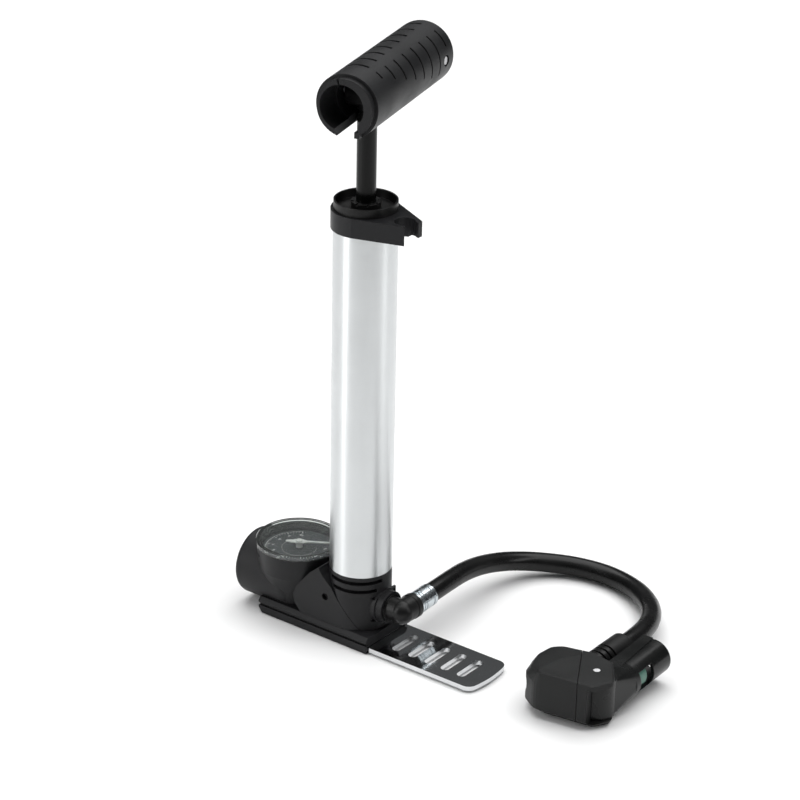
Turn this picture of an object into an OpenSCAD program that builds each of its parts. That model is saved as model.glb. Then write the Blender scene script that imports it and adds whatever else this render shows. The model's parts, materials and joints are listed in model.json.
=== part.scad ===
// Mini floor pump with a folding T-handle, a foot gauge, a sliding foot plate
// and a hose with a lever head. Millimetres. The origin is on the ground at
// the barrel's axis: +X points to the foot plate, +Y to the hose, +Z up.

/* [Barrel] */
// Outer diameter of the barrel
barrel_d = 32; // [31:0.5:33]
// Wall of the barrel
barrel_wall = 1.6; // [1.4:0.1:1.8]
// Height of the barrel's lower end above the ground
barrel_bottom = 39; // [39:0.5:40]
// Height of the barrel's upper end above the ground
barrel_top = 233.3; // [225:0.1:240]

/* [Rod and handle] */
// Diameter of the pump rod
rod_d = 9.8; // [9.4:0.1:9.9]
// Height of the handle's axis, with the rod drawn up a little
handle_height = 292.4; // [288:0.1:300]
// Direction of the handle's long end, turned from +X about the rod
handle_turn = 104; // [90:1:120]
// Outer diameter of the handle
handle_d = 32; // [30:0.5:32]
// Reach of the handle's open end in front of the pivot
handle_front = 26.6; // [26:0.1:28]
// Reach of the handle's closed end behind the pivot
handle_back = 70; // [66:1:80]

/* [Foot] */
// Width of the foot channel
channel_w = 34.4; // [34.2:0.1:36]
// Length of the foot plate from its inner end to its tip
plate_length = 84.5; // [80:0.5:90]
// Thickness of the foot plate
plate_thick = 2.4; // [2:0.1:2.4]
// Width of the foot plate
plate_w = 32; // [30:0.5:32]
// Number of slots across the foot plate
plate_slots = 5; // [3:1:5]

/* [Gauge] */
// Distance of the gauge's centre from the barrel's axis
gauge_reach = 40.5; // [40:0.5:42]
// Diameter of the gauge's lens
lens_d = 45; // [44:0.5:46]
// Height of the lens's top above the ground
lens_top = 41; // [40:0.5:42]

/* [Hose and head] */
// Outer diameter of the hose
hose_d = 10.4; // [9.6:0.1:10.6]
// Height of the hose's outlet above the ground
outlet_height = 20.5; // [20:0.5:21]
// Height of the pump head, lying on its side
head_height = 26; // [25:0.5:27]
// Angle of the head's nozzle axis from -X
head_turn = 10; // [0:1:15]

/* [Hidden] */

$fn = 64;
e = 0.01;             // overshoot of a cut past a face
fit = 0.05;           // radial clearance of a running fit
seam = 0.25;          // visible gap between two neighbouring shells

// Barrel and piston
barrel_r = barrel_d / 2;
bore_r = barrel_r - barrel_wall;
rod_r = rod_d / 2;
spigot_h = 10;                          // foot spigot inside the barrel
spigot_top = barrel_bottom + spigot_h;
piston_low = 80;
piston_high = 96;

// Cap and clip at the barrel's top
cap_rim_r = 15.8;
cap_cup_r = 14.9;
cap_floor = barrel_top + 0.5;
cap_rim = barrel_top + 4.8;
bushing_r = 7.35;
bushing_top = cap_rim - 0.7;
skirt_bottom = barrel_top - 11.3;
bumper_h = 4;
clip_top = barrel_top + 0.4;
clip_h = 9.9;
clip_r = 17.2;
clip_hose = [25.6, -2.6];               // centre of the clip's hose channel
clip_hose_r = 5.3;

// Handle
handle_r = handle_d / 2;
handle_bore_r = 11.5;
mouth_r = 11.3;                         // bore's front part, off centre
mouth_y = 1.5;
spigot_r = 14.4;                        // stepped front end, nests in the cap
spigot_l = 3;
eye_r = 7;
eye_half = 8.8;
pin_r = 2.5;
pin_half = 14;
slot_left = 5.1;
slot_right = 7;
rivet_at = handle_back - 11;
rivet_r = 2;
grip_first = -9.6;                      // first slit round the handle
grip_pitch = 10;
grip_low = [46, 60, 72, 83, 93, 103, 109, 66];

// Foot
channel_half = channel_w / 2;
channel_left = -53.5;
channel_right = 17.5;
channel_top = 8.5;
floor_skin = 0.7;
plate_z = 0.9;
tunnel_h = 3.5;
plate_inner = -1;
plate_tip = plate_inner + plate_length;
plate_travel = 48;
stop_x = 4;
stop_r = 1.5;
boss_r = 9.25;
boss_end = 19.8;
stub_r = 7;
core_r = 13;
seam_line = [
    [-60, 42], [-15, 42], [-14, 37.2], [-11.9, 34.3], [-6, 29.2], [-2.2, 24],
    [1.5, 20], [5.5, 15], [11, channel_top]
];
screw_x = -10.5;
screw_z = 23;

// Gauge
gauge_x = -gauge_reach;
lens_r = lens_d / 2;
rim_low = lens_top - 2.7;
pod_r = 18;
pod_z = 19.3;
pod_end = -70;
pod_inner = -33;
wing_half = 16;
dial_z = 34;
dial_r = 19.4;
needle_z = 37.2;
needle_rest = 33;                       // needle's direction at zero pressure

// Elbow and hose
elbow_x = 27;
outlet_r = 6.6;
outlet_end = 9.5;
ferrule_end = 23;
hose_r = hose_d / 2;
hose_sides = 12;
hose_route = [
    [27, 9.5, 20.5], [26.6, 16, 20.5], [26.2, 24, 20.5], [25.6, 34.3, 20.3],
    [24.6, 45.3, 19.7], [23.3, 57.1, 18.4], [22.7, 69.3, 16.3],
    [23.6, 81.6, 13.7], [26.8, 93.3, 11.1], [32.3, 103.5, 8.8],
    [39.9, 111.7, 7.1], [49.1, 117.9, 6.1], [59.5, 121.6, 5.6],
    [70.4, 122.8, 5.5], [81.3, 121.3, 5.7], [92, 117.3, 6.3],
    [101.8, 111, 7.3], [110.3, 103, 8.6], [117.1, 93.7, 10],
    [122, 83.5, 11.3], [125, 72.8, 12.4], [126.4, 62, 13.1],
    [126.6, 52, 13.4]
];

// Head, in its own frame: the lever's pin is the origin, the nozzle points
// to -X and the head's underside is at Z = 0
pin_place = [141.7, 6.1, 0];
lever_dir = 92 - head_turn;             // lever's direction in that frame
nozzle_y = -1.6;
nozzle_z = head_height / 2;
hub_r = 10.2;
cheek = 3;
valve_r = 4;
lever_r = 9.2;
lever_y = -3.6;
lever_z = nozzle_z - 0.6;
hose_end = hose_route[len(hose_route) - 1];
neck_end = 21;                          // where the head's neck meets the connector

/* Shared shapes */

// Ring of points around p, square to direction t
function ring(p, t, r, n) =
    let (u0 = cross(t, abs(t[2]) < 0.9 ? [0, 0, 1] : [1, 0, 0]))
    let (u = u0 / norm(u0))
    let (v = cross(u, t))
    [for (i = [0 : n - 1])
        p + r * (cos(360 * i / n) * u + sin(360 * i / n) * v)];

// Direction of path at point i
function heading(path, i) =
    let (a = path[max(0, i - 1)])
    let (b = path[min(len(path) - 1, i + 1)])
    (b - a) / norm(b - a);

// Tube of radius r along path
module sweep(path, r, n, first, last) {
    m = len(path);
    dirs = [for (i = [0 : m - 1])
        i == 0 ? first : i == m - 1 ? last : heading(path, i)];
    points = [for (i = [0 : m - 1]) each ring(path[i], dirs[i], r, n)];
    sides = [for (i = [0 : m - 2], j = [0 : n - 1])
        each [
            [i * n + j, i * n + (j + 1) % n, (i + 1) * n + j],
            [i * n + (j + 1) % n, (i + 1) * n + (j + 1) % n, (i + 1) * n + j]
        ]];
    start = [for (j = [1 : n - 2]) [0, j + 1, j]];
    end = [for (j = [1 : n - 2]) let (k = (m - 1) * n) [k, k + j, k + j + 1]];
    polyhedron(points, concat(sides, start, end));
}

// Points on a smooth curve through the route, s steps a stretch
function curve_point(a, b, c, d, t) =
    0.5 * (2 * b + (c - a) * t + (2 * a - 5 * b + 4 * c - d) * t * t
        + (3 * b - a - 3 * c + d) * t * t * t);
function curve(r, s) =
    let (m = len(r))
    [for (i = [0 : m - 2], k = [0 : s - 1])
        curve_point(r[max(0, i - 1)], r[i], r[i + 1], r[min(m - 1, i + 2)],
            k / s),
     r[m - 1]];

// Cylinder along +X from x0 to x1
module rod_x(x0, x1, r) {
    translate([x0, 0, 0])
        rotate([0, 90, 0])
            cylinder(r = r, h = x1 - x0);
}

// Cylinder along +Y from y0 to y1
module rod_y(y0, y1, r) {
    translate([0, y1, 0])
        rotate([90, 0, 0])
            cylinder(r = r, h = y1 - y0);
}

// Tube along +Z
module pipe(z0, z1, r_out, r_in) {
    translate([0, 0, z0])
        difference() {
            cylinder(r = r_out, h = z1 - z0);
            translate([0, 0, -1])
                cylinder(r = r_in, h = z1 - z0 + 2);
        }
}

// Round rubber ring of mean radius r and thickness 2 * t
module o_ring(r, t) {
    rotate_extrude()
        translate([r, 0])
            circle(r = t, $fn = 24);
}

// Prism over an outline in X and Z, w wide across Y
module side_prism(outline, w) {
    rotate([90, 0, 0])
        linear_extrude(w, center = true)
            polygon(outline);
}

/* Foot */

module foot_channel() {
    length = channel_right - channel_left;
    color([0.09, 0.09, 0.10])
        difference() {
            union() {
                // closed sleeve, with a lip and a sloped upper ridge
                side_prism([
                    [channel_left + 2, 0], [channel_right, 0],
                    [channel_right, 4], [channel_left, 4], [channel_left, 3]
                ], channel_w);
                side_prism([
                    [channel_left, 4], [channel_right, 4],
                    [channel_right, 5.5], [channel_left, 5.5]
                ], channel_w - 3);
                translate([channel_left, 0, 0])
                    rotate([90, 0, 90])
                        linear_extrude(length)
                            polygon([
                                [-channel_half, 5.5], [channel_half, 5.5],
                                [channel_half, 6.8],
                                [channel_half - 1.6, channel_top],
                                [-channel_half + 1.6, channel_top],
                                [-channel_half, 6.8]
                            ]);
            }
            // tunnel of the foot plate
            translate([channel_left + 1.5, -plate_w / 2 - 0.2, floor_skin])
                cube([length, plate_w + 0.4, tunnel_h - floor_skin]);
            // slot of the stop pin
            round_slot(stop_x - plate_travel, stop_x, stop_r + 0.2,
                tunnel_h - e, channel_top + 1);
        }
}

// Slot along X with round ends, from two cylinders and a box
module round_slot(x0, x1, r, z0, z1) {
    for (x = [x0, x1])
        translate([x, 0, z0])
            cylinder(r = r, h = z1 - z0);
    translate([x0, -r, z0])
        cube([x1 - x0, 2 * r, z1 - z0]);
}

// Side of the foot's seam that belongs to the foot body
module seam_side(shift) {
    last = len(seam_line) - 1;
    side_prism(concat(
        [for (i = [0 : last]) seam_line[i] + [shift, i < last ? 0 : -1]],
        [[60, channel_top - 1], [60, 80], [-60, 80]]
    ), 80);
}

// Arc groove in the collar, from angle a0 over da
module arc_groove(z, h, a0, da) {
    translate([0, 0, z])
        rotate([0, 0, a0])
            rotate_extrude(angle = da)
                translate([barrel_r - 2.4, 0])
                    square([4, h]);
}

module foot_body() {
    color([0.07, 0.07, 0.075])
        difference() {
            union() {
                translate([0, 0, channel_top])
                    cylinder(r = core_r, h = barrel_bottom - channel_top);
                intersection() {
                    translate([0, 0, channel_top])
                        cylinder(r = barrel_r, h = barrel_bottom - channel_top);
                    seam_side(0);
                }
                translate([0, 0, barrel_bottom])
                    cylinder(r = bore_r - 0.1, h = spigot_h);
                translate([0, 0, outlet_height]) {
                    rod_x(8, 15.9, boss_r);
                    rod_x(15, boss_end, boss_r - 0.7);
                }
            }
            for (side = [0, 180])
                rotate([0, 0, side]) {
                    arc_groove(34.7, 2.1, -120 + side / 18, 112);
                    arc_groove(30, 2, -112 + side / 18, 92);
                }
            // o-ring groove in the spigot
            translate([0, 0, barrel_bottom + 4])
                difference() {
                    cylinder(r = bore_r + 1, h = 2);
                    translate([0, 0, -1])
                        cylinder(r = bore_r - 1.85, h = 4);
                }
            // valve chamber, seat pocket and elbow socket
            translate([0, 0, 26])
                cylinder(r = 4.2, h = 30);
            translate([0, 0, 14])
                cylinder(r = 2, h = 20);
            translate([0, 0, 36])
                cylinder(r = 5, h = 30);
            translate([0, 0, outlet_height]) {
                rod_x(9.3, boss_end + 1, stub_r + fit);
                rod_x(0, 10, 2);
                rod_x(-20, -4, 3.05);
                rod_x(-5, 0, 1.2);
                // cross holes of the elbow's retaining clip
                for (up = [-6.2, 6.2])
                    translate([14.2, 0, up])
                        rod_y(-20, 20, 0.8);
            }
            // pilot holes of the housing screws
            for (m = [0, 1])
                mirror([0, m, 0])
                    translate([screw_x, 0, screw_z])
                        rod_y(-20, -5.5, 1.1);
        }
}

/* Gauge */

module housing_solid() {
    // gauge cup, end of the pod and the wing towards the barrel
    translate([gauge_x, 0, 6])
        cylinder(r1 = 13.7, r2 = 17.2, h = 11);
    translate([gauge_x, 0, 17])
        cylinder(r1 = 17.2, r2 = 20.9, h = 9);
    translate([gauge_x, 0, 26])
        cylinder(r1 = 20.9, r2 = lens_r - 0.2, h = rim_low - 26);
    translate([0, 0, pod_z])
        rotate([0, 90, 0])
            rotate_extrude()
                pod_outline();
    intersection() {
        side_prism([
            [11, channel_top], [5, 38.3], [-15, 38.3], [-20.6, 33.6],
            [-29, 23.5], [-31.5, 18], [-30.5, 13], [-26.5, channel_top]
        ], 2 * wing_half);
        union() {
            cylinder(r = barrel_r, h = 40);
            translate([-34, -wing_half, 0])
                cube([34, 2 * wing_half, 40]);
        }
    }
}

// Half outline of the pod: radius and distance along its axis
module pod_outline() {
    edge = 3;
    nose = 8;
    translate([0, pod_end + edge])
        square([pod_r, pod_inner - nose - pod_end - edge]);
    translate([0, pod_end])
        square([pod_r - edge, edge + 1]);
    translate([pod_r - edge, pod_end + edge])
        circle(r = edge, $fn = 32);
    translate([0, pod_inner - nose - 1])
        square([pod_r - nose, nose + 1]);
    translate([pod_r - nose, pod_inner - nose])
        circle(r = nose, $fn = 32);
}

module gauge_housing() {
    color([0.10, 0.10, 0.11])
        difference() {
            housing_solid();
            // room of the foot channel and of the foot body
            translate([channel_left - 0.3, -40, -1])
                cube([100, 80, channel_top + 1]);
            seam_side(-seam);
            cylinder(r = core_r + 0.1, h = 60);
            // hollow of the cup and of the pod
            translate([gauge_x, 0, 31])
                cylinder(r = 20.9, h = 20);
            translate([gauge_x, 0, 13])
                cylinder(r = 13.2, h = 30);
            translate([0, 0, pod_z])
                rod_x(pod_end + 3, -50, 14.5);
            translate([0, 0, outlet_height])
                rod_x(-30, 0, 3.05);
            // latch slit of the lens and the two screw wells
            translate([gauge_x, 0, 33])
                rotate([0, 0, -140])
                    rotate_extrude(angle = 20)
                        translate([lens_r - 1.2, 0])
                            square([3, 1]);
            for (m = [0, 1])
                mirror([0, m, 0])
                    translate([screw_x, 0, screw_z]) {
                        rod_y(-30, -12.6, 1.9);
                        rod_y(-30, -5, 1.15);
                    }
        }
}

module housing_screws() {
    color([0.35, 0.35, 0.36])
        for (m = [0, 1])
            mirror([0, m, 0])
                translate([screw_x, 0, screw_z])
                    difference() {
                        union() {
                            rod_y(-14.1, -12.6, 1.8);
                            rod_y(-13, -5.5, 1.1);
                        }
                        translate([-1, -15, -0.2])
                            cube([2, 1.5, 0.4]);
                        translate([-0.2, -15, -1])
                            cube([0.4, 1.5, 2]);
                    }
}

module gauge_lens() {
    color([0.80, 0.82, 0.80, 0.45])
        translate([gauge_x, 0, 0])
            rotate_extrude()
                polygon([
                    [0, lens_top - 1.4], [20.2, lens_top - 1.4],
                    [20.2, dial_z + 0.7], [20.8, dial_z + 0.7],
                    [20.8, rim_low], [lens_r, rim_low],
                    [lens_r, lens_top - 0.7], [lens_r - 0.7, lens_top],
                    [0, lens_top]
                ]);
}

module gauge_dial() {
    color([0.16, 0.17, 0.19])
        translate([gauge_x, 0, 0])
            pipe(dial_z - 0.8, dial_z, dial_r, 1);
}

module gauge_movement() {
    color([0.72, 0.58, 0.30]) {
        translate([gauge_x, 0, 0])
            difference() {
                union() {
                    translate([0, 0, 16])
                        cylinder(r = 12.5, h = dial_z - 0.8 - 16);
                    translate([0, 0, outlet_height])
                        rod_x(10, 34.5, 3);
                }
                translate([0, 0, 28])
                    cylinder(r = 1, h = 10);
                translate([0, 0, outlet_height]) {
                    rod_x(5, 40, 1.2);
                    translate([31, 0, 0])
                        rotate([0, 90, 0])
                            difference() {
                                cylinder(r = 4, h = 1.6);
                                translate([0, 0, -1])
                                    cylinder(r = 2, h = 4);
                            }
                }
            }
    }
}

module gauge_stem_seal() {
    color([0.03, 0.03, 0.03])
        translate([gauge_x + 31.8, 0, outlet_height])
            rotate([0, 90, 0])
                o_ring(2.5, 0.5);
}

module gauge_needle() {
    color([0.95, 0.95, 0.93])
        translate([gauge_x, 0, 0]) {
            translate([0, 0, 30])
                cylinder(r = 0.9, h = needle_z - 30 + e);
            translate([0, 0, dial_z + 0.4])
                cylinder(r = 1.7, h = needle_z + 1.2 - dial_z - 0.4);
            translate([0, 0, needle_z])
                rotate([0, 0, needle_rest])
                    linear_extrude(0.6)
                        polygon([
                            [-7, -0.4], [-1.5, -2], [1.5, -2], [4, -0.9],
                            [17, -0.5], [17, 0.5], [4, 0.9], [1.5, 2],
                            [-1.5, 2], [-7, 0.4]
                        ]);
        }
}

/* Barrel, cap and clip */

module barrel() {
    color([0.82, 0.84, 0.85])
        pipe(barrel_bottom, barrel_top, barrel_r, bore_r);
}

module barrel_seal() {
    color([0.03, 0.03, 0.03])
        translate([0, 0, barrel_bottom + 5])
            o_ring(bore_r - 0.97, 0.88);
}

module top_cap() {
    color([0.06, 0.06, 0.06])
        difference() {
            union() {
                translate([0, 0, skirt_bottom])
                    cylinder(r = bore_r, h = barrel_top - skirt_bottom + e);
                translate([0, 0, barrel_top])
                    cylinder(r = cap_rim_r, h = cap_rim - barrel_top);
            }
            translate([0, 0, cap_floor])
                cylinder(r = cap_cup_r, h = 20);
            translate([0, 0, skirt_bottom - 1])
                cylinder(r = bushing_r, h = 30);
        }
}

module rod_bushing() {
    color([0.10, 0.10, 0.10])
        difference() {
            pipe(skirt_bottom, bushing_top, bushing_r, rod_r + fit);
            for (a = [0 : 45 : 315])
                rotate([0, 0, a])
                    translate([rod_r + 0.9, -0.5, bushing_top - 0.8])
                        cube([4, 1, 2]);
        }
}

module top_bumper() {
    color([0.05, 0.05, 0.05])
        pipe(skirt_bottom - bumper_h, skirt_bottom, bore_r - 0.4, rod_r + 0.8);
}

module hose_clip() {
    color([0.08, 0.08, 0.09])
        difference() {
            union() {
                translate([0, 0, clip_top - clip_h])
                    cylinder(r = clip_r, h = clip_h);
                translate([0, 0, clip_top - clip_h])
                    linear_extrude(clip_h)
                        polygon([
                            [0, -clip_r], [4, -clip_r + 0.4], [29.6, -8.6],
                            [32, -4], [32, 2.8], [30.7, 3.6], [8, 15]
                        ]);
            }
            translate([0, 0, clip_top - clip_h - 1])
                cylinder(r = barrel_r, h = clip_h + 2);
            translate([clip_hose[0], clip_hose[1], clip_top - clip_h - 1]) {
                cylinder(r = clip_hose_r, h = clip_h + 2);
                for (a = [-54, -40, -23])
                    rotate([0, 0, a])
                        cube([20, 4.6, clip_h + 2]);
            }
            // hollow between the ring and the two walls, open below
            translate([0, 0, clip_top - clip_h - 1])
                linear_extrude(clip_h - 0.6)
                    polygon([[17.6, -8.2], [19, -7.8], [18.6, 3.6],
                        [21, 6], [14.5, 9.6]]);
            // short prong
            translate([24, -1.6, clip_top - clip_h - 1])
                cube([11, 7, 3.2]);
        }
}

/* Check valve */

module valve_seat() {
    color([0.78, 0.64, 0.32])
        pipe(36, spigot_top, 5, 1.5);
}

module check_disc() {
    color([0.12, 0.12, 0.12])
        translate([0, 0, 34.1]) {
            cylinder(r = 3.6, h = 1.85);
            translate([0, 0, -1.5])
                cylinder(r = 1.8, h = 1.6);
        }
}

module check_spring() {
    turns = 5;
    z0 = 26.3;
    z1 = 33.75;
    steps = 12 * turns;
    path = [for (i = [0 : steps])
        [2.6 * cos(30 * i), 2.6 * sin(30 * i), z0 + (z1 - z0) * i / steps]];
    color([0.75, 0.75, 0.78])
        sweep(path, 0.3, 6, [0, 1, 0.05], [0, 1, 0.05]);
}

/* Piston and rod */

module piston() {
    color([0.15, 0.15, 0.16])
        difference() {
            translate([0, 0, piston_low])
                cylinder(r = bore_r - 0.3, h = piston_high - piston_low);
            translate([0, 0, piston_low + 6])
                cylinder(r = rod_r + fit, h = 20);
            translate([0, 0, piston_low - 1])
                cylinder(r = 2.2, h = 20);
            translate([0, 0, piston_low - 1])
                cylinder(r = 6.6, h = 5);
            translate([0, 0, piston_low + 5])
                difference() {
                    cylinder(r = bore_r + 1, h = 3);
                    translate([0, 0, -1])
                        cylinder(r = bore_r - 2.66, h = 5);
                }
        }
}

module piston_seal() {
    color([0.03, 0.03, 0.03])
        translate([0, 0, piston_low + 6.5])
            o_ring(bore_r - 1.33, 1.28);
}

module pump_rod() {
    color([0.05, 0.05, 0.055])
        pipe(piston_low + 6.1, handle_height - 8, rod_r, rod_r - 1.2);
}

module rod_plug() {
    color([0.70, 0.70, 0.72])
        pipe(piston_low + 6.1, piston_low + 26, rod_r - 1.2, 2);
}

module piston_screw() {
    color([0.55, 0.55, 0.57])
        difference() {
            union() {
                translate([0, 0, piston_low + 0.6])
                    cylinder(r = 5.6, h = 3);
                translate([0, 0, piston_low + 3])
                    cylinder(r = 2, h = 17);
            }
            translate([0, 0, piston_low])
                cylinder(r = 2.2, h = 2.4, $fn = 6);
        }
}

module rod_end() {
    color([0.16, 0.16, 0.17])
        translate([0, 0, handle_height])
            rotate([0, 0, handle_turn])
                difference() {
                    union() {
                        rod_y(-eye_half, eye_half, eye_r);
                        translate([0, 0, -8])
                            cylinder(r = rod_r, h = 4);
                        translate([0, 0, -22])
                            cylinder(r = rod_r - 1.2, h = 15);
                    }
                    rod_y(-20, 20, pin_r + fit);
                }
}

/* Handle, built along +X from its pivot and turned into place */

module handle_place() {
    translate([0, 0, handle_height])
        rotate([0, 0, handle_turn])
            children();
}

// Half outline of the handle: distance along the axis, radius
module handle_tube() {
    edge = 3;
    difference() {
        union() {
            rod_x(-handle_front, 0, spigot_r);
            rod_x(-handle_front + spigot_l, handle_back - edge, handle_r);
            rotate([0, 90, 0])
                rotate_extrude() {
                    translate([0, handle_back - edge - 1])
                        square([handle_r - edge, edge + 1]);
                    translate([handle_r - edge, handle_back - edge])
                        circle(r = edge, $fn = 32);
                }
        }
        rod_x(-11, 8.2, handle_bore_r);
        translate([0, mouth_y, 0])
            rod_x(-handle_front - 1, -10, mouth_r);
        rod_x(11, handle_back - 4, 13.3);
        // mouth of the rod's slot, underneath
        translate([-handle_front - 1, -slot_right, -handle_r - 1])
            cube([handle_front + 1, slot_right + slot_left, handle_r + 1]);
        translate([0, 0, -handle_r - 1])
            cylinder(r = rod_r + 0.3, h = handle_r + 1);
        rod_y(-pin_half, pin_half, pin_r);
        for (i = [0 : len(grip_low) - 1])
            translate([grip_first + grip_pitch * i, 0, 0])
                rotate([0, 90, 0]) {
                    grip_slit(-98 + 5 * i, 16 - 1.7 * i, 1, 1.8);
                    grip_slit(31, grip_low[i], 0.7, 1.2);
                }
    }
    translate([rivet_at, 0, 0])
        rod_y(-14, 14, 4.2);
}

// Slit round the handle between two angles from its top, right is positive
module grip_slit(a0, a1, depth, width) {
    rotate([0, 0, 180 + a0])
        rotate_extrude(angle = a1 - a0)
            translate([handle_r - depth, 0])
                square([2, width]);
}

module rivet_hole() {
    translate([rivet_at, 0, 0]) {
        rod_y(-20, 20, rivet_r);
        rod_y(-20, -14.4, 2.9);
        rod_y(14.4, 20, 2.9);
    }
}

// The shell on the left, seen from the open end
module handle_left_shell() {
    color([0.11, 0.11, 0.12])
        handle_place()
            difference() {
                handle_tube();
                translate([-60, -40, -40])
                    cube([200, 40, 80]);
                rivet_hole();
                // notch in the mouth's rim
                rotate([-15, 0, 0])
                    translate([-handle_front - 1, -0.4, 9])
                        cube([3.4, 0.8, 8]);
            }
}

// The shell on the right, with a nub that keeps the folded rod in its slot
module handle_right_shell() {
    color([0.11, 0.11, 0.12])
        handle_place()
            difference() {
                union() {
                    handle_tube();
                    translate([-handle_front, -slot_right - 0.8, -14])
                        cube([3.4, slot_right + 0.8 - slot_left, 3]);
                }
                translate([-60, 0, -40])
                    cube([200, 40, 80]);
                rivet_hole();
            }
}

module handle_pin() {
    color([0.75, 0.76, 0.78])
        handle_place()
            rod_y(-pin_half, pin_half, pin_r);
}

module handle_rivet() {
    color([0.78, 0.78, 0.80])
        handle_place()
            translate([rivet_at, 0, 0])
                rod_y(-15.5, 15.5, rivet_r);
}

/* Foot plate */

module foot_plate() {
    half = plate_w / 2;
    corner = 5;
    tip_r = 62;
    slot_l = 19;
    slot_w = 4.6;
    slot_first = 29.5;
    slot_pitch = 10.2;
    corner_y = half - corner;
    corner_x = plate_tip - tip_r + sqrt(pow(tip_r - corner, 2) - pow(corner_y, 2));
    blend = corner_y * tip_r / (tip_r - corner);
    color([0.72, 0.73, 0.75])
        difference() {
            translate([0, 0, plate_z])
                linear_extrude(plate_thick) {
                    translate([plate_inner, -half])
                        square([corner_x - plate_inner, plate_w]);
                    for (s = [-1, 1])
                        translate([corner_x, s * corner_y])
                            circle(r = corner);
                    intersection() {
                        translate([plate_tip - tip_r, 0])
                            circle(r = tip_r, $fn = 128);
                        translate([corner_x - 1, -blend])
                            square([20, 2 * blend]);
                    }
                }
            for (i = [0 : plate_slots - 1])
                translate([slot_first + slot_pitch * i, 0, 0])
                    rotate([0, 0, 90])
                        round_slot(-slot_l / 2 + slot_w / 2,
                            slot_l / 2 - slot_w / 2, slot_w / 2, 0, 10);
            translate([stop_x, 0, 0])
                cylinder(r = stop_r, h = 10);
        }
}

module plate_stop_pin() {
    color([0.70, 0.70, 0.72])
        translate([stop_x, 0, plate_z])
            cylinder(r = stop_r, h = 6.2);
}

/* Elbow, hose and ferrule */

module elbow() {
    color([0.04, 0.04, 0.04])
        translate([0, 0, outlet_height])
            difference() {
                union() {
                    rod_x(9.5, boss_end + 0.6, stub_r);
                    rod_x(boss_end, elbow_x, 6.2);
                    translate([elbow_x, 0, 0])
                        sphere(r = 6.4);
                    translate([elbow_x, 0, 0]) {
                        rod_y(0, outlet_end, outlet_r - 0.3);
                        rod_y(outlet_end - 3, outlet_end, outlet_r);
                    }
                }
                rod_x(5, elbow_x, 2);
                translate([elbow_x, 0, 0])
                    rod_y(0, 30, 2);
                ring_cut(13.35, 15.05, 5.4);
                ring_cut(10.6, 12.2, 5.55);
            }
}

// Groove round the elbow's stub, between x0 and x1, down to radius r
module ring_cut(x0, x1, r) {
    difference() {
        rod_x(x0, x1, 12);
        rod_x(x0 - 1, x1 + 1, r);
    }
}

module elbow_seal() {
    color([0.03, 0.03, 0.03])
        translate([11.4, 0, outlet_height])
            rotate([0, 90, 0])
                o_ring(6.28, 0.7);
}

module elbow_clip() {
    wire = 0.75;
    color([0.70, 0.70, 0.72])
        translate([14.2, 0, outlet_height]) {
            for (up = [-6.2, 6.2])
                translate([0, 0, up])
                    rod_y(-6.4, 10, wire);
            translate([0, 10, -6.2])
                cylinder(r = wire, h = 12.4);
            for (up = [-6.2, 6.2])
                translate([0, 10, up])
                    sphere(r = wire, $fn = 24);
        }
}

module hose_ferrule() {
    color([0.76, 0.79, 0.80])
        translate([elbow_x, outlet_end, outlet_height])
            rotate([-90, 0, 2.5])
                difference() {
                    pipe(0.3, ferrule_end - outlet_end, 5.95, hose_r + 0.1);
                    for (z = [2, 4, 10.4])
                        translate([0, 0, z])
                            pipe(0, 0.7, 8, 5.7);
                }
}

module hose() {
    path = curve(hose_route, 2);
    color([0.05, 0.05, 0.05])
        sweep(path, hose_r, hose_sides, [0, 1, 0], [0, -1, 0]);
}

/* Head: it lies on its side, with the lever's pin upright */

module head_place() {
    translate(pin_place)
        rotate([0, 0, head_turn])
            children();
}

// Head through level outlines: [height, corner size, outline, thickness]
module head_shape() {
    middle = [
        [5.2, -16.4], [12.4, -5.5], [5, 11.8], [-8.8, 17], [-26, 20],
        [-32, 17], [-36.5, 5], [-35, -7.5], [-26, -15.9]
    ];
    top = [
        [4.7, -16.4], [11.7, -5.7], [4.05, 10.9], [-9.2, 15.7], [-19.75, 3.2],
        [-26.4, -13.4], [-23.8, -15.9]
    ];
    layers = [
        [0, 2, [[3.5, -10], [9.5, -3], [3, 9], [-7.5, 12.5], [-25, 13],
            [-30, 5], [-29, -6], [-23, -9.5]], 0.2],
        [5, 3, middle, 14],
        [23.4, 2, [[4.9, -16.4], [12, -5.6], [4.5, 11.3], [-9, 16.4],
            [-25, 17.5], [-30.5, 14], [-33.4, 4], [-31.5, -9],
            [-25, -15.9]], 0.2],
        [head_height - 0.8, 1, top, 0.2]
    ];
    hull() {
        for (l = layers)
            translate([0, 0, l[0]])
                linear_extrude(l[3])
                    polygon(soft(l[2], l[1]));
        translate([-7.5, -2, head_height - 0.2])
            linear_extrude(0.2)
                polygon([for (q = soft(top, 1)) 0.95 * (q + [7.5, 2])]);
    }
}

// Outline with its corners rounded, starting at distance t from each corner
function soft(outline, t) =
    let (m = len(outline))
    [for (i = [0 : m - 1])
        let (b = outline[i])
        let (u = outline[(i + m - 1) % m] - b)
        let (v = outline[(i + 1) % m] - b)
        let (p = b + t * u / norm(u))
        let (q = b + t * v / norm(v))
        each [for (s = [0, 0.33, 0.67, 1])
            let (c = (1 - s) * (1 - s) * p + 2 * s * (1 - s) * b + s * s * q)
            [round(c[0] * 20) / 20, round(c[1] * 20) / 20]]];

// The head on one side of its seam: -1 is the cap's side, 1 the body's
module head_part(side) {
    gap = side * seam / 2;
    intersection() {
        head_shape();
        translate([0, 0, -1])
            linear_extrude(head_height + 2)
                polygon([[5.6 + gap, -40], [side * 60, -40], [side * 60, 40],
                    [-23.6 + gap, 40]]);
    }
}

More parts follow.
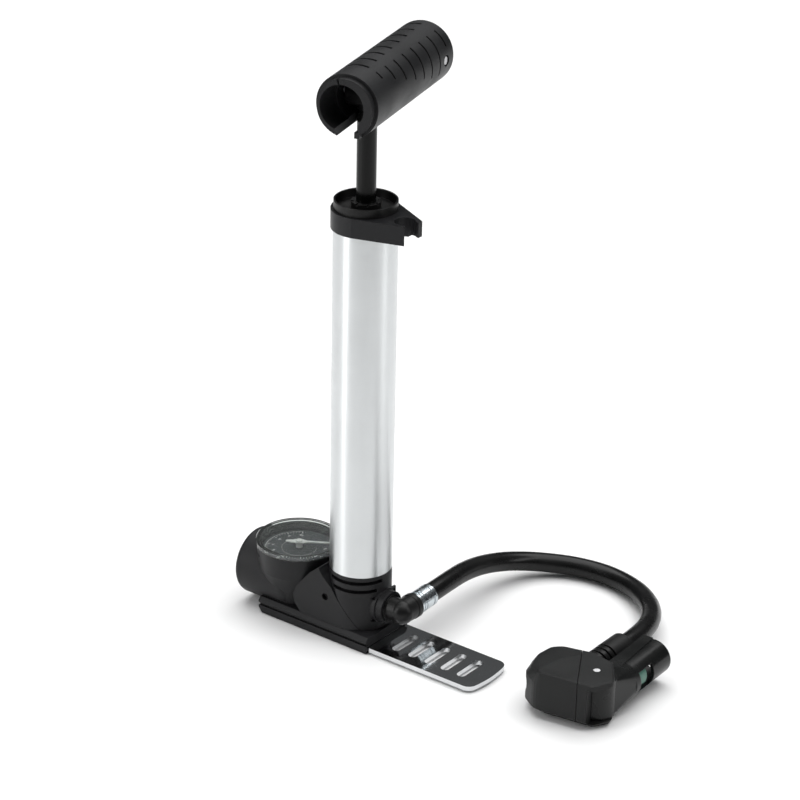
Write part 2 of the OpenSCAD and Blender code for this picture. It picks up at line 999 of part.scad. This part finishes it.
// Room between the two cheeks for the lever and its hub
module lever_room() {
    translate([0, 0, cheek])
        linear_extrude(head_height - 2 * cheek) {
            circle(r = hub_r + 0.5);
            translate([2.3, -20])
                square([30, 50]);
            rotate([0, 0, lever_dir])
                translate([0, -8])
                    square([30, 12.2]);
        }
}

// Neck of the hose and its air passage, drawn where the hose ends
module neck(y0, y1, r) {
    translate([hose_end[0], 0, hose_end[2]])
        rod_y(y0, y1, r);
}

module head_cap() {
    color([0.10, 0.11, 0.11])
        difference() {
            head_place()
                difference() {
                    head_part(-1);
                    lever_room();
                    translate([0, nozzle_y, nozzle_z]) {
                        rod_x(-40, -22, 7.5);
                        rod_x(-24, -17, 6.6);
                        rod_x(-20, 0, 4.55);
                    }
                }
            neck(16.4, 22, 7.5);
            neck(3, 22, 2);
        }
}

module head_body() {
    color([0.09, 0.10, 0.10])
        difference() {
            union() {
                head_place()
                    head_part(1);
                neck(16.7, neck_end + 1, 7.2);
            }
            head_place() {
                lever_room();
                translate([0, 0, -1])
                    cylinder(r = 1.8, h = 40);
            }
            neck(3, neck_end + 1, 2);
            neck(neck_end, neck_end + 3, 7.5);
        }
}

module head_gasket() {
    color([0.20, 0.20, 0.20])
        head_place()
            translate([0, nozzle_y, nozzle_z])
                difference() {
                    rod_x(-33, -22.2, 7.4);
                    rod_x(-40, -10, valve_r);
                }
}

module head_plunger() {
    color([0.80, 0.80, 0.78])
        head_place()
            translate([0, nozzle_y, nozzle_z])
                difference() {
                    union() {
                        rod_x(-21.9, -18, 6.4);
                        rod_x(-19, -11, 4.5);
                    }
                    rod_x(-30, -13.4, 1.5);
                    translate([-14.9, 0, 0])
                        rod_y(-10, 10, 1.3);
                }
}

module lever_pin() {
    color([0.82, 0.82, 0.84])
        head_place()
            translate([0, 0, 0.6])
                cylinder(r = 1.8, h = head_height - 0.8);
}

// The lever, with a hub round the pin and a tube-shaped end
module head_lever() {
    lever_l = 50;
    color([0.08, 0.085, 0.08])
        head_place()
            difference() {
                union() {
                    translate([0, 0, cheek + 0.3])
                        cylinder(r = hub_r - 0.1, h = head_height - 2 * cheek - 0.6);
                    rotate([0, 0, lever_dir])
                        intersection() {
                            hull() {
                                translate([0, 0, cheek + 0.3])
                                    cylinder(r = hub_r - 0.6,
                                        h = head_height - 2 * cheek - 0.6);
                                translate([0, lever_y, lever_z])
                                    rod_x(20, 21, lever_r);
                            }
                            translate([0, -20, 0])
                                cube([30, 23.4, 30]);
                        }
                    rotate([0, 0, lever_dir])
                        translate([0, lever_y, lever_z])
                            rod_x(18, lever_l, lever_r);
                    // flat rib along the lever's upper side
                    rotate([0, 0, lever_dir])
                        translate([0, 0, lever_z + 6])
                            linear_extrude(3.8)
                                polygon([[2, -5], [lever_l, -2],
                                    [lever_l, 3.6], [6, 3.2]]);
                }
                translate([0, 0, -1])
                    cylinder(r = 1.85, h = 60);
                rotate([0, 0, lever_dir])
                    translate([0, lever_y, lever_z])
                        rod_x(21.5, lever_l + 1, lever_r - 1.6);
                // window in the lever's outer side
                rotate([0, 0, lever_dir])
                    translate([22, -20, lever_z - 5.5])
                        cube([12, 12, 11]);
            }
}

module lever_insert() {
    color([0.45, 0.55, 0.50])
        head_place()
            rotate([0, 0, lever_dir])
                translate([0, lever_y, lever_z])
                    difference() {
                        rod_x(21.6, 30, lever_r - 1.7);
                        rod_x(24, 40, 4.4);
                    }
}

module hose_connector() {
    color([0.05, 0.05, 0.05])
        difference() {
            union() {
                neck(37.6, hose_end[1], 7.3);
                neck(neck_end, 38, 5);
            }
            neck(0, 60, 2);
        }
}

// Ribbed rubber boot between the head and the connector
module connector_boot() {
    color([0.06, 0.06, 0.06])
        difference() {
            union() {
                neck(21.4, 37.2, 5.9);
                for (i = [0 : 3])
                    neck(22.2 + 3.9 * i, 24.8 + 3.9 * i, 7.2);
            }
            neck(0, 60, 5);
        }
}

foot_channel();
foot_body();
gauge_housing();
housing_screws();
barrel();
barrel_seal();
top_cap();
rod_bushing();
top_bumper();
hose_clip();
gauge_lens();
gauge_dial();
gauge_movement();
gauge_stem_seal();
valve_seat();
check_spring();
elbow_clip();
gauge_needle();
check_disc();
piston();
piston_seal();
pump_rod();
rod_plug();
piston_screw();
rod_end();
handle_left_shell();
handle_right_shell();
handle_pin();
handle_rivet();
foot_plate();
plate_stop_pin();
elbow();
elbow_seal();
hose_ferrule();
hose();
hose_connector();
connector_boot();
head_body();
head_cap();
head_gasket();
head_plunger();
lever_pin();
head_lever();
lever_insert();
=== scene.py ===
import bpy
import json
import math
from mathutils import Matrix, Vector


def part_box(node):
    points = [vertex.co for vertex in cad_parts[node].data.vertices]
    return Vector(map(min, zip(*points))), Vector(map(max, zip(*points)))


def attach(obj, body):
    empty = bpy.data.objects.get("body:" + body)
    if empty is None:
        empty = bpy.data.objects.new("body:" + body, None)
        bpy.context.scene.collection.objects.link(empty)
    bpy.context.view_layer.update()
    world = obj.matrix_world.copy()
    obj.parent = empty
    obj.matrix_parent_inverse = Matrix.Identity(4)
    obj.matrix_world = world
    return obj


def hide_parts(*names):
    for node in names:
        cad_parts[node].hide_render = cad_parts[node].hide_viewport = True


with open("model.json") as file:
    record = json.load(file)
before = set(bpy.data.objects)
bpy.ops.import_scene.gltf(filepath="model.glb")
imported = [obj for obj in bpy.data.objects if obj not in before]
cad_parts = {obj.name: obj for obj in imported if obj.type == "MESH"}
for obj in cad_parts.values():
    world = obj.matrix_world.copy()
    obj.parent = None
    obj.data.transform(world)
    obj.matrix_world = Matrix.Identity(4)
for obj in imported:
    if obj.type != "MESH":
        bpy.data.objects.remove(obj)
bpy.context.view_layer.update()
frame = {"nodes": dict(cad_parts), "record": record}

MM = 0.001
scene = bpy.context.scene


# ---------------------------------------------------------------- camera
AZIMUTH, ELEVATION, ROLL = 37, 25, 1.15     # degrees
LOOK_AT = (0.0146, 0.0110, 0.1315)
DISTANCE = 1.5
LENS = 135.9


def make_camera():
    azimuth, elevation, roll = (math.radians(a) for a in (AZIMUTH, ELEVATION, ROLL))
    away = Vector((
        math.sin(azimuth) * math.cos(elevation),
        -math.cos(azimuth) * math.cos(elevation),
        math.sin(elevation),
    ))
    right = Vector((math.cos(azimuth), math.sin(azimuth), 0))
    up = away.cross(right)
    side = right * math.cos(roll) + up * math.sin(roll)
    top = up * math.cos(roll) - right * math.sin(roll)
    data = bpy.data.cameras.new("camera")
    data.sensor_width = 36
    data.lens = LENS
    data.clip_end = 20
    cam = bpy.data.objects.new("camera", data)
    scene.collection.objects.link(cam)
    place = Vector(LOOK_AT) + away * DISTANCE
    cam.matrix_world = Matrix((
        (side.x, top.x, away.x, place.x),
        (side.y, top.y, away.y, place.y),
        (side.z, top.z, away.z, place.z),
        (0, 0, 0, 1),
    ))
    scene.camera = cam


make_camera()


# ---------------------------------------------------------------- hose
# Its middle line in millimetres, the same as in the part's own source
HOSE_ROUTE = [
    (27, 9.5, 20.5), (26.6, 16, 20.5), (26.2, 24, 20.5), (25.6, 34.3, 20.3),
    (24.6, 45.3, 19.7), (23.3, 57.1, 18.4), (22.7, 69.3, 16.3),
    (23.6, 81.6, 13.7), (26.8, 93.3, 11.1), (32.3, 103.5, 8.8),
    (39.9, 111.7, 7.1), (49.1, 117.9, 6.1), (59.5, 121.6, 5.6),
    (70.4, 122.8, 5.5), (81.3, 121.3, 5.7), (92, 117.3, 6.3),
    (101.8, 111, 7.3), (110.3, 103, 8.6), (117.1, 93.7, 10),
    (122, 83.5, 11.3), (125, 72.8, 12.4), (126.4, 62, 13.1),
    (126.6, 52, 13.4),
]
HOSE_R = 5.2            # millimetres
HOSE_STEPS = 6


def smooth_route(route, steps):
    """Points in metres on a smooth curve through the route, with steps points to each stretch."""
    points = [Vector(p) * MM for p in route]
    last = len(points) - 1
    out = []
    for i in range(last):
        a, b = points[max(0, i - 1)], points[i]
        c, d = points[i + 1], points[min(last, i + 2)]
        for k in range(steps):
            t = k / steps
            out.append(0.5 * (2 * b + (c - a) * t
                              + (2 * a - 5 * b + 4 * c - d) * t * t
                              + (3 * b - a - 3 * c + d) * t * t * t))
    out.append(points[last])
    return out


def as_mesh(obj):
    """The mesh that a curve or a text makes; the curve or text itself is removed."""
    graph = bpy.context.evaluated_depsgraph_get()
    mesh = bpy.data.meshes.new_from_object(obj.evaluated_get(graph))
    bpy.data.objects.remove(obj)
    mesh.materials.clear()
    return mesh


def make_hose():
    path = smooth_route(HOSE_ROUTE, HOSE_STEPS)
    curve = bpy.data.curves.new("hose_rubber", "CURVE")
    curve.dimensions = "3D"
    curve.bevel_depth = HOSE_R * MM
    curve.bevel_resolution = 8
    curve.use_fill_caps = True
    line = curve.splines.new("POLY")
    line.points.add(len(path) - 1)
    for point, p in zip(line.points, path):
        point.co = (p.x, p.y, p.z, 1)
    line.use_smooth = True
    guide = bpy.data.objects.new("hose_guide", curve)
    scene.collection.objects.link(guide)
    obj = bpy.data.objects.new("hose_tube", as_mesh(guide))
    scene.collection.objects.link(obj)
    return obj


hose = make_hose()
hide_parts("hose")
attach(hose, "hose_line")


# ---------------------------------------------------------------- materials
NOISE_LOW, NOISE_HIGH = 0.35, 0.65      # a noise texture is mostly between these


class Nodes:
    """Short names for building a shader."""

    def __init__(self, name):
        self.mat = bpy.data.materials.new(name)
        self.mat.use_nodes = True
        self.tree = self.mat.node_tree
        self.bsdf = self.tree.nodes["Principled BSDF"]
        self.coords = self.add("ShaderNodeTexCoord").outputs["Object"]

    def add(self, kind, **values):
        node = self.tree.nodes.new(kind)
        for key, value in values.items():
            setattr(node, key, value)
        return node

    def link(self, a, b):
        self.tree.links.new(a, b)

    def noise(self, scale, detail=3, stretch=(1, 1, 1)):
        place = self.add("ShaderNodeMapping")
        place.inputs["Scale"].default_value = stretch
        self.link(self.coords, place.inputs["Vector"])
        node = self.add("ShaderNodeTexNoise")
        node.inputs["Scale"].default_value = scale
        node.inputs["Detail"].default_value = detail
        self.link(place.outputs["Vector"], node.inputs["Vector"])
        return node.outputs["Fac"]

    def spread(self, fac, low, high):
        node = self.add("ShaderNodeMapRange")
        node.inputs["From Min"].default_value = NOISE_LOW
        node.inputs["From Max"].default_value = NOISE_HIGH
        node.inputs["To Min"].default_value = low
        node.inputs["To Max"].default_value = high
        self.link(fac, node.inputs["Value"])
        return node.outputs["Result"]

    def tones(self, fac, dark, light):
        node = self.add("ShaderNodeValToRGB")
        low, high = node.color_ramp.elements
        low.position = NOISE_LOW
        low.color = (*dark, 1)
        high.position = NOISE_HIGH
        high.color = (*light, 1)
        self.link(fac, node.inputs["Fac"])
        self.link(node.outputs["Color"], self.bsdf.inputs["Base Color"])

    def bump(self, fac, strength, distance, edge=0):
        node = self.add("ShaderNodeBump")
        node.inputs["Strength"].default_value = strength
        node.inputs["Distance"].default_value = distance
        self.link(fac, node.inputs["Height"])
        if edge:
            soft = self.add("ShaderNodeBevel", samples=4)
            soft.inputs["Radius"].default_value = edge
            self.link(soft.outputs["Normal"], node.inputs["Normal"])
        self.link(node.outputs["Normal"], self.bsdf.inputs["Normal"])

    def set(self, **values):
        for key, value in values.items():
            self.bsdf.inputs[key.replace("_", " ")].default_value = value


def shade(c, f):
    return tuple(x * f for x in c)


def plastic(name, color, rough=(0.42, 0.55), grain=2600, depth=0.00004, strength=0.5,
            spec=0.24, edge=0.0005):
    m = Nodes(name)
    fine = m.noise(grain, 2)
    broad = m.noise(55, 4)
    m.tones(broad, shade(color, 0.82), shade(color, 1.2))
    m.link(m.spread(broad, *rough), m.bsdf.inputs["Roughness"])
    m.bump(fine, strength, depth, edge)
    m.bsdf.inputs["Specular IOR Level"].default_value = spec
    return m.mat


def metal(name, color, rough=(0.2, 0.3), stretch=(1, 1, 1), grain=900, strength=0.12, depth=0.00002):
    m = Nodes(name)
    brushed = m.noise(grain, 3, stretch)
    broad = m.noise(30, 3)
    m.tones(broad, shade(color, 0.93), shade(color, 1.05))
    m.link(m.spread(brushed, *rough), m.bsdf.inputs["Roughness"])
    m.bump(brushed, strength, depth)
    m.set(Metallic=1.0)
    return m.mat


def drawn_tube(name, color, rough):
    """Metal polished round an upright tube, so its highlights stretch upwards."""
    m = Nodes(name)
    brushed = m.noise(2400, 3, (0.05, 0.05, 1))
    m.tones(m.noise(25, 3), shade(color, 0.98), shade(color, 1.02))
    m.link(m.spread(brushed, *rough), m.bsdf.inputs["Roughness"])
    m.bump(m.noise(3000, 2), 0.05, 0.00001)
    around = m.add("ShaderNodeTangent", direction_type="RADIAL", axis="Z")
    m.link(around.outputs["Tangent"], m.bsdf.inputs["Tangent"])
    m.bsdf.inputs["Anisotropic"].default_value = 0.85
    m.bsdf.inputs["Anisotropic Rotation"].default_value = 0.25
    m.set(Metallic=1.0)
    return m.mat


def clear(name, color, rough):
    m = Nodes(name)
    broad = m.noise(40, 2)
    m.tones(broad, shade(color, 0.97), color)
    m.link(m.spread(broad, *rough), m.bsdf.inputs["Roughness"])
    m.bsdf.inputs["Transmission Weight"].default_value = 0.97
    m.set(IOR=1.46)
    return m.mat


MATERIALS = {
    "foot_black": plastic("foot plastic", (0.0112, 0.0112, 0.0122), (0.42, 0.56)),
    "rail_black": plastic("rail plastic", (0.0105, 0.0105, 0.0115), (0.36, 0.48)),
    "cap_black": plastic("cap plastic", (0.0085, 0.0085, 0.0085), (0.34, 0.46)),
    "clip_black": plastic("clip plastic", (0.0095, 0.0097, 0.0108), (0.36, 0.48)),
    "small_steel": metal("small steel", (0.50, 0.50, 0.51), (0.25, 0.38)),
    "screw_black": metal("black oxide", (0.05, 0.05, 0.052), (0.4, 0.5)),
    "barrel_alloy": drawn_tube("satin aluminium", (0.70, 0.72, 0.725), (0.30, 0.36)),
    "seal_rubber": plastic("seal rubber", (0.010, 0.010, 0.010), (0.55, 0.7)),
    "lens_clear": clear("lens", (0.93, 0.96, 0.94), (0.02, 0.05)),
    "dial_face": plastic("dial", (0.046, 0.050, 0.056), (0.5, 0.6), 900),
    "needle_white": plastic("needle", (0.88, 0.88, 0.86), (0.35, 0.45), 900),
    "brass": metal("brass", (0.72, 0.53, 0.25), (0.25, 0.35)),
    "rod_black": plastic("rod paint", (0.003, 0.0033, 0.003), (0.18, 0.26), 700, 0.00001, 0.2, 0.2),
    "inner_grey": plastic("inner grey", (0.004, 0.004, 0.004), (0.5, 0.6), spec=0.15),
    "handle_black": plastic("handle plastic", (0.0125, 0.0127, 0.0135),
                            (0.40, 0.52), 2200, 0.00005, 0.6),
    "pin_steel": metal("pin steel", (0.66, 0.66, 0.67), (0.5, 0.6)),
    "plate_steel": metal("polished steel", (0.66, 0.67, 0.68), (0.05, 0.12), (1, 12, 1), 260, 0.05),
    "elbow_black": plastic("elbow plastic", (0.007, 0.007, 0.007),
                           (0.34, 0.44), 1500, 0.00003, 0.4),
    "ferrule_zinc": metal("zinc", (0.60, 0.65, 0.68), (0.16, 0.28), grain=700),
    "hose_rubber": plastic("hose rubber", (0.006, 0.006, 0.006), (0.24, 0.34), 1200, 0.00002, 0.3),
    "head_black": plastic("head plastic", (0.0095, 0.0100, 0.0100),
                          (0.40, 0.52), 2000, 0.00006, 0.7),
    "lever_black": plastic("lever plastic", (0.008, 0.0085, 0.0083),
                           (0.20, 0.30), 1600, 0.00002, 0.3),
    "insert_green": plastic("insert", (0.07, 0.16, 0.125), (0.15, 0.25), 900),
}


def apply_materials():
    slots = {part["node"]: part["material_slot"] for part in frame["record"]["subparts"]}
    for name, node in frame["nodes"].items():
        node.data.materials.clear()
        node.data.materials.append(MATERIALS[slots[name]])
    hose.data.materials.append(MATERIALS["hose_rubber"])


apply_materials()


# ---------------------------------------------------------------- dial
REST_ANGLE = math.radians(33)       # where the needle rests
SWEEP = math.radians(270)
NUMBERS = 11
MARKS = 5 * (NUMBERS - 1)
TEXT_TURN = math.radians(168)       # turns the numbers upright for a reader
TEXT_SIZE = 2.6 * MM
TEXT_R = 13.6 * MM
PRINT_LIFT = 0.04 * MM


def print_on_dial(name, mesh):
    obj = bpy.data.objects.new(name, mesh)
    scene.collection.objects.link(obj)
    mesh.materials.append(MATERIALS["needle_white"])
    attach(obj, "base")


def make_bars(cx, cy, z):
    """Marks and two arcs, clockwise from the needle's rest."""
    verts, faces = [], []

    def bar(angle, r0, r1, half):
        u = Vector((math.cos(angle), math.sin(angle), 0))
        n = Vector((-u.y, u.x, 0))
        start = len(verts)
        for r, s in ((r0, -1), (r1, -1), (r1, 1), (r0, 1)):
            p = Vector((cx, cy, z)) + u * r * MM + n * s * half * MM
            verts.append(tuple(p))
        faces.append((start, start + 1, start + 2, start + 3))

    for i in range(MARKS + 1):
        angle = REST_ANGLE - SWEEP * i / MARKS
        major = i % 5 == 0
        bar(angle, 15.6 if major else 16.4, 17.6, 0.16 if major else 0.08)
        if i < MARKS:
            bar(angle - SWEEP / MARKS / 2, 17.6, 17.75, 0.84)
            bar(angle - SWEEP / MARKS / 2, 9.0, 9.1, 0.45)
    mesh = bpy.data.meshes.new("dial_scale")
    mesh.from_pydata(verts, [], faces)
    mesh.validate()
    return mesh


def make_number(value, x, y, z):
    font = bpy.data.curves.new("number", "FONT")
    font.body = str(value)
    font.size = TEXT_SIZE
    font.align_x = "CENTER"
    font.align_y = "CENTER"
    text = bpy.data.objects.new("number", font)
    scene.collection.objects.link(text)
    mesh = as_mesh(text)
    mesh.transform(Matrix.Translation((x, y, z)) @ Matrix.Rotation(TEXT_TURN, 4, "Z"))
    return mesh


def make_scale():
    """Printed scale with plain numbers."""
    low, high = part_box("gauge_dial")
    cx, cy = (low[0] + high[0]) / 2, (low[1] + high[1]) / 2
    z = high[2] + PRINT_LIFT
    print_on_dial("dial_scale", make_bars(cx, cy, z))
    for i in range(NUMBERS):
        angle = REST_ANGLE - SWEEP * i / (NUMBERS - 1)
        x, y = cx + TEXT_R * math.cos(angle), cy + TEXT_R * math.sin(angle)
        print_on_dial("dial_number_%d" % i, make_number(i, x, y, z))


make_scale()


# ---------------------------------------------------------------- stage
FLOOR_HALF = 15
FLOOR_Z = -0.0004       # just under the part, so that the two faces don't meet


def make_floor():
    corners = [(x * FLOOR_HALF, y * FLOOR_HALF, FLOOR_Z) for x, y in ((-1, -1), (1, -1), (1, 1), (-1, 1))]
    mesh = bpy.data.meshes.new("floor")
    mesh.from_pydata(corners, [], [(0, 1, 2, 3)])
    floor = bpy.data.objects.new("floor", mesh)
    scene.collection.objects.link(floor)
    m = Nodes("floor")
    m.tones(m.noise(3, 3), (0.86, 0.86, 0.86), (0.90, 0.90, 0.90))
    m.set(Roughness=0.8)
    mesh.materials.append(m.mat)


def make_world():
    """Studio with dark walls under a bright ceiling."""
    world = bpy.data.worlds.new("studio")
    world.use_nodes = True
    tree = world.node_tree
    coords = tree.nodes.new("ShaderNodeTexCoord")
    split = tree.nodes.new("ShaderNodeSeparateXYZ")
    ramp = tree.nodes.new("ShaderNodeValToRGB")
    wall, ceiling = ramp.color_ramp.elements
    wall.position = 0.45
    wall.color = (0.10, 0.105, 0.11, 1)
    ceiling.position = 0.85
    ceiling.color = (1, 1, 1, 1)
    tree.links.new(coords.outputs["Generated"], split.inputs["Vector"])
    tree.links.new(split.outputs["Z"], ramp.inputs["Fac"])
    back = tree.nodes["Background"]
    tree.links.new(ramp.outputs["Color"], back.inputs["Color"])
    back.inputs["Strength"].default_value = 0.45
    scene.world = world


def lamp(name, place, target, size, power):
    data = bpy.data.lights.new(name, "AREA")
    data.shape = "RECTANGLE"
    data.size, data.size_y = size
    data.energy = power
    obj = bpy.data.objects.new(name, data)
    scene.collection.objects.link(obj)
    obj.location = place
    obj.rotation_euler = (Vector(target) - Vector(place)).to_track_quat("-Z", "Y").to_euler()


make_floor()
make_world()
lamp("top", (-0.25, 0.55, 1.8), (-0.2, 0.45, 0), (2.4, 2.4), 50)
lamp("left", (-0.55, -0.95, 0.55), (0, 0, 0.13), (0.30, 1.0), 5.5)
lamp("right", (0.95, 0.35, 0.7), (0, 0, 0.13), (0.3, 1.0), 3)
scene.view_settings.view_transform = "Standard"
